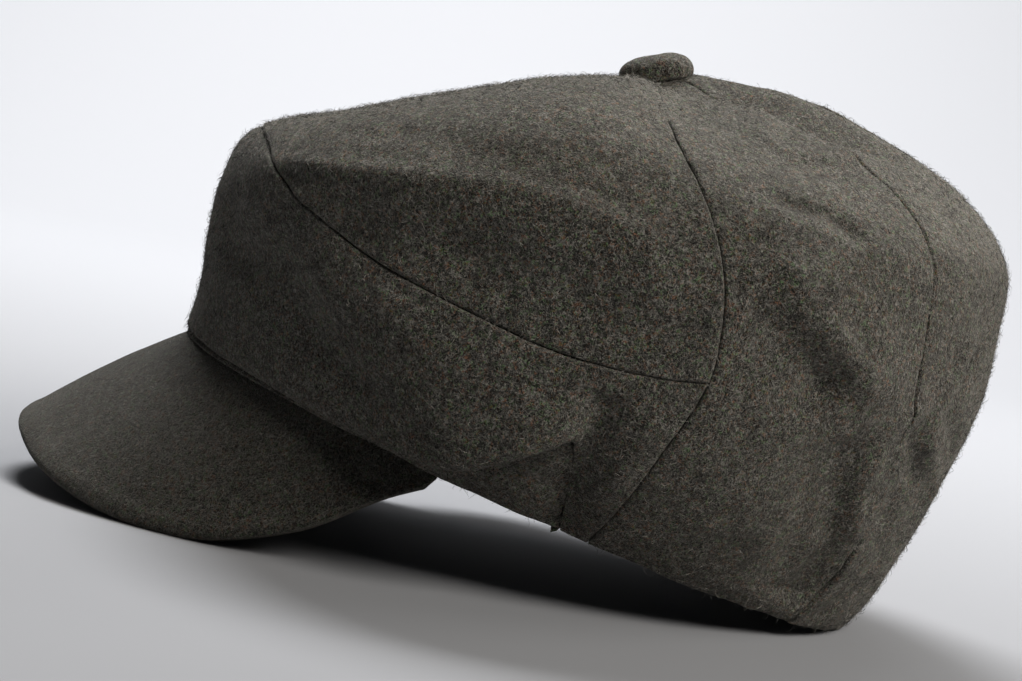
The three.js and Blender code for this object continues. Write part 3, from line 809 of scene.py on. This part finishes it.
def wool(name, dark, middle, light, pale_strand, relief):
    """Melange melton: clouded mixture of dark and pale wool with brown and green hints, and curly fibres"""
    s = Shader(name)
    places = s.millimetres()
    cloud = s.noise(places, 0.04, detail=3, roughness=0.6)
    mottle = s.noise(s.moved(places, (3, 11, 7)), 0.3, detail=2, roughness=0.6, distortion=0.6)
    grain = s.noise(s.moved(places, (17, 5, 29)), 1.3, detail=2.0, roughness=0.65, distortion=1.2)
    tone = s.math("ADD", s.math("MULTIPLY", grain, 0.7), s.math("MULTIPLY", mottle, 0.22))
    tone = s.math("ADD", tone, s.math("MULTIPLY", cloud, 0.08))
    ground = s.mix(s.between(tone, 0.4, 0.49), dark, middle)
    ground = s.mix(s.between(tone, 0.49, 0.59), ground, light)
    brown = s.noise(s.moved(places, (71, 13, 5)), 0.8, detail=1, roughness=0.6, distortion=1.0)
    green = s.noise(s.moved(places, (9, 67, 43)), 0.7, detail=1, roughness=0.6, distortion=1.0)
    ground = s.mix(s.between(brown, 0.5, 0.62), ground, (1.0, 0.52, 0.34, 1), "MULTIPLY")
    ground = s.mix(s.between(green, 0.5, 0.62), ground, (0.6, 1.0, 0.54, 1), "MULTIPLY")
    pale = s.strands(places, 0.55, 0.03, (0, 0, 0))
    fine = s.strands(places, 1.0, 0.05, (31, 2, 13))
    deep = s.strands(places, 0.7, 0.045, (7, 41, 3))
    patch = s.between(s.noise(s.moved(places, (5, 59, 23)), 0.6, detail=1), 0.42, 0.62)
    deepest = (dark[0] * 0.45, dark[1] * 0.45, dark[2] * 0.45, 1)
    colour = s.mix(s.math("MULTIPLY", deep, 0.6), ground, deepest)
    colour = s.mix(s.math("MULTIPLY", s.math("MULTIPLY", pale, patch), 0.45), colour, pale_strand)
    colour = s.mix(s.math("MULTIPLY", fine, 0.22), colour, pale_strand)
    s.tree.links.new(colour, s.surface.inputs["Base Color"])
    rough = s.between(grain, 0.3, 0.7, 0.88, 1.0)
    s.tree.links.new(rough, s.surface.inputs["Roughness"])
    s.surface.inputs["Specular IOR Level"].default_value = 0.12
    s.surface.inputs["Sheen Weight"].default_value = 0.3
    s.surface.inputs["Sheen Roughness"].default_value = 0.45
    s.surface.inputs["Sheen Tint"].default_value = (0.78, 0.73, 0.65, 1)
    height = s.math("ADD", s.math("MULTIPLY", grain, 1.4), s.math("MULTIPLY", pale, 0.3))
    height = s.math("ADD", height, s.math("MULTIPLY", fine, 0.25))
    height = s.math("SUBTRACT", height, s.math("MULTIPLY", deep, 0.35))
    bump = s.add("ShaderNodeBump", None, Strength=0.85, Distance=relief, Height=height)
    s.tree.links.new(bump.outputs[0], s.surface.inputs["Normal"])
    return s.material


def fibre_wool(name, dark, pale):
    """Loose fibres, dark and pale ones mixed"""
    s = Shader(name)
    places = s.millimetres()
    shade = s.noise(places, 0.45, detail=1.0)
    s.tree.links.new(s.mix(s.between(shade, 0.42, 0.6), dark, pale), s.surface.inputs["Base Color"])
    s.surface.inputs["Roughness"].default_value = 0.9
    s.surface.inputs["Specular IOR Level"].default_value = 0.2
    return s.material


CROWN_WOOL = wool(
    "crown_melton", (0.0026, 0.0027, 0.0028, 1), (0.0165, 0.0164, 0.0152, 1),
    (0.172, 0.165, 0.146, 1), (0.42, 0.4, 0.355, 1), 0.001,
)
# Same melange melton as the crown, with every colour set darker: painted shade where the crown shades the
# peak
SHADED_PEAK_WOOL = wool(
    "peak_melton_painted_shade", (0.006, 0.0062, 0.0057, 1), (0.0105, 0.0107, 0.0098, 1),
    (0.07, 0.069, 0.061, 1), (0.2, 0.19, 0.168, 1), 0.0007,
)

FIBRES = fibre_wool("loose_fibres", (0.02, 0.0195, 0.018, 1), (0.26, 0.245, 0.215, 1))


def skin_area(outer):
    """Area of a grid of points in square millimetres"""
    around = np.diff(outer, axis=1)[:-1]
    up = np.diff(outer, axis=0)[:, :-1]
    return np.linalg.norm(np.cross(around, up), axis=-1).sum()


def build_panels():
    """The seven panels of the crown, then the loose fibres on each"""
    other_rear_seam = mirrored(rear_seam)
    other_cross_seam = mirrored(cross_seam)
    panels = [
        ("front_panel", front_panel()),
        ("front_band", front_band()),
        ("top_panel", top_panel()),
        ("back_side_left", rear_panel(cross_seam, rear_seam, BACK_SIDE_GRID, 41)),
        ("back_centre_left", rear_panel(rear_seam, back_seam, BACK_CENTRE_GRID, 43)),
        ("back_centre_right", rear_panel(back_seam, other_rear_seam, BACK_CENTRE_GRID, 45)),
        ("back_side_right", rear_panel(other_rear_seam, other_cross_seam, BACK_SIDE_GRID, 47)),
    ]
    for node, (outer, normals) in panels:
        piece = shell(node + "_cloth", outer, normals, CLOTH, CROWN_WOOL)
        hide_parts(node)
    for number, (node, (outer, normals)) in enumerate(panels):
        count = int(FIBRES_PER_CM2 * skin_area(outer) / 100)
        build_fuzz(node + "_fuzz", outer, normals, count, FUZZ_SEED + number, FIBRES)


def rest_direction(vector):
    return Vector(tipped(*vector))


def build_camera():
    """Camera at the photograph's angle, from the wearer's left and a little above the rim's plane"""
    above = math.radians(CAMERA_ABOVE)
    roll = CAMERA_ROLL
    focal_pixels = PIXELS_PER_MM * CAMERA_DISTANCE
    back = Vector((math.cos(above), 0, math.sin(above)))
    level = Vector((0, 1, 0))
    rise = back.cross(level)
    if rise.z < 0:
        rise = -rise
    dx = (RIM_CENTRE_PIXEL[0] - PHOTO_WIDTH / 2) / PIXELS_PER_MM
    dy = (RIM_CENTRE_PIXEL[1] - PHOTO_HEIGHT / 2) / PIXELS_PER_MM
    u = math.cos(roll) * dx + math.sin(roll) * dy
    v = math.sin(roll) * dx - math.cos(roll) * dy
    eye = back * CAMERA_DISTANCE - level * u - rise * v
    right = level * math.cos(roll) + rise * math.sin(roll)
    up = rise * math.cos(roll) - level * math.sin(roll)
    axes = [rest_direction(axis) for axis in (right, up, back)]
    place = (rest_direction(eye) + Vector(REST_SHIFT.tolist())) / 1000
    matrix = Matrix.Identity(4)
    for column, axis in enumerate(axes):
        for row in range(3):
            matrix[row][column] = axis[row]
    matrix.translation = place
    data = bpy.data.cameras.new("camera")
    data.sensor_fit = "HORIZONTAL"
    data.sensor_width = SENSOR_WIDTH
    data.lens = focal_pixels / PHOTO_WIDTH * SENSOR_WIDTH
    data.clip_start = 0.01
    camera = bpy.data.objects.new("camera", data)
    camera.matrix_world = matrix
    bpy.context.collection.objects.link(camera)
    bpy.context.scene.camera = camera


def area_light(name, place, target, size, power, colour):
    data = bpy.data.lights.new(name, "AREA")
    data.shape = "DISK"
    data.size = size
    data.energy = power
    data.color = colour
    light = bpy.data.objects.new(name, data)
    light.location = place
    light.rotation_euler = (Vector(target) - Vector(place)).to_track_quat("-Z", "Y").to_euler()
    bpy.context.collection.objects.link(light)


def build_studio():
    """Grey paper floor that curves up into a backdrop, soft lights, and a dim world that looks pale"""
    paper = Shader("studio_paper")
    paper.surface.inputs["Base Color"].default_value = (0.26, 0.263, 0.273, 1)
    paper.surface.inputs["Roughness"].default_value = 0.9
    paper.surface.inputs["Specular IOR Level"].default_value = 0.1
    profile = [(FLOOR_NEAR, 0.0), (FLOOR_FAR, 0.0)]
    for turn in np.linspace(0, np.pi / 2, 16)[1:]:
        profile.append((FLOOR_FAR - WALL_BEND * math.sin(turn), WALL_BEND - WALL_BEND * math.cos(turn)))
    profile.append((FLOOR_FAR - WALL_BEND, WALL_HEIGHT))
    vertices = [(x, y, z) for y in (-PAPER_HALF_WIDTH, PAPER_HALF_WIDTH) for x, z in profile]
    count = len(profile)
    faces = [(k, k + 1, k + 1 + count, k + count) for k in range(count - 1)]
    mesh = bpy.data.meshes.new("backdrop")
    mesh.from_pydata(vertices, [], faces)
    mesh.polygons.foreach_set("use_smooth", [True] * len(mesh.polygons))
    mesh.materials.append(paper.material)
    backdrop = bpy.data.objects.new("backdrop", mesh)
    bpy.context.collection.objects.link(backdrop)
    world = bpy.data.worlds.new("studio")
    world.use_nodes = True
    tree = world.node_tree
    tree.nodes["Background"].inputs[0].default_value = (0.93, 0.96, 1.0, 1)
    seen = tree.nodes.new("ShaderNodeLightPath").outputs["Is Camera Ray"]
    strength = tree.nodes.new("ShaderNodeMapRange")
    strength.inputs["To Min"].default_value = WORLD_LIGHT
    strength.inputs["To Max"].default_value = WORLD_SEEN
    tree.links.new(seen, strength.inputs["Value"])
    tree.links.new(strength.outputs[0], tree.nodes["Background"].inputs[1])
    bpy.context.scene.world = world
    for name, place, target, size, power, colour in LIGHTS:
        area_light(name, place, target, size, power, colour)
    bpy.context.scene.view_settings.view_transform = "Standard"


build_camera()
build_studio()
build_panels()
build_peak(SHADED_PEAK_WOOL)
build_button(CROWN_WOOL)
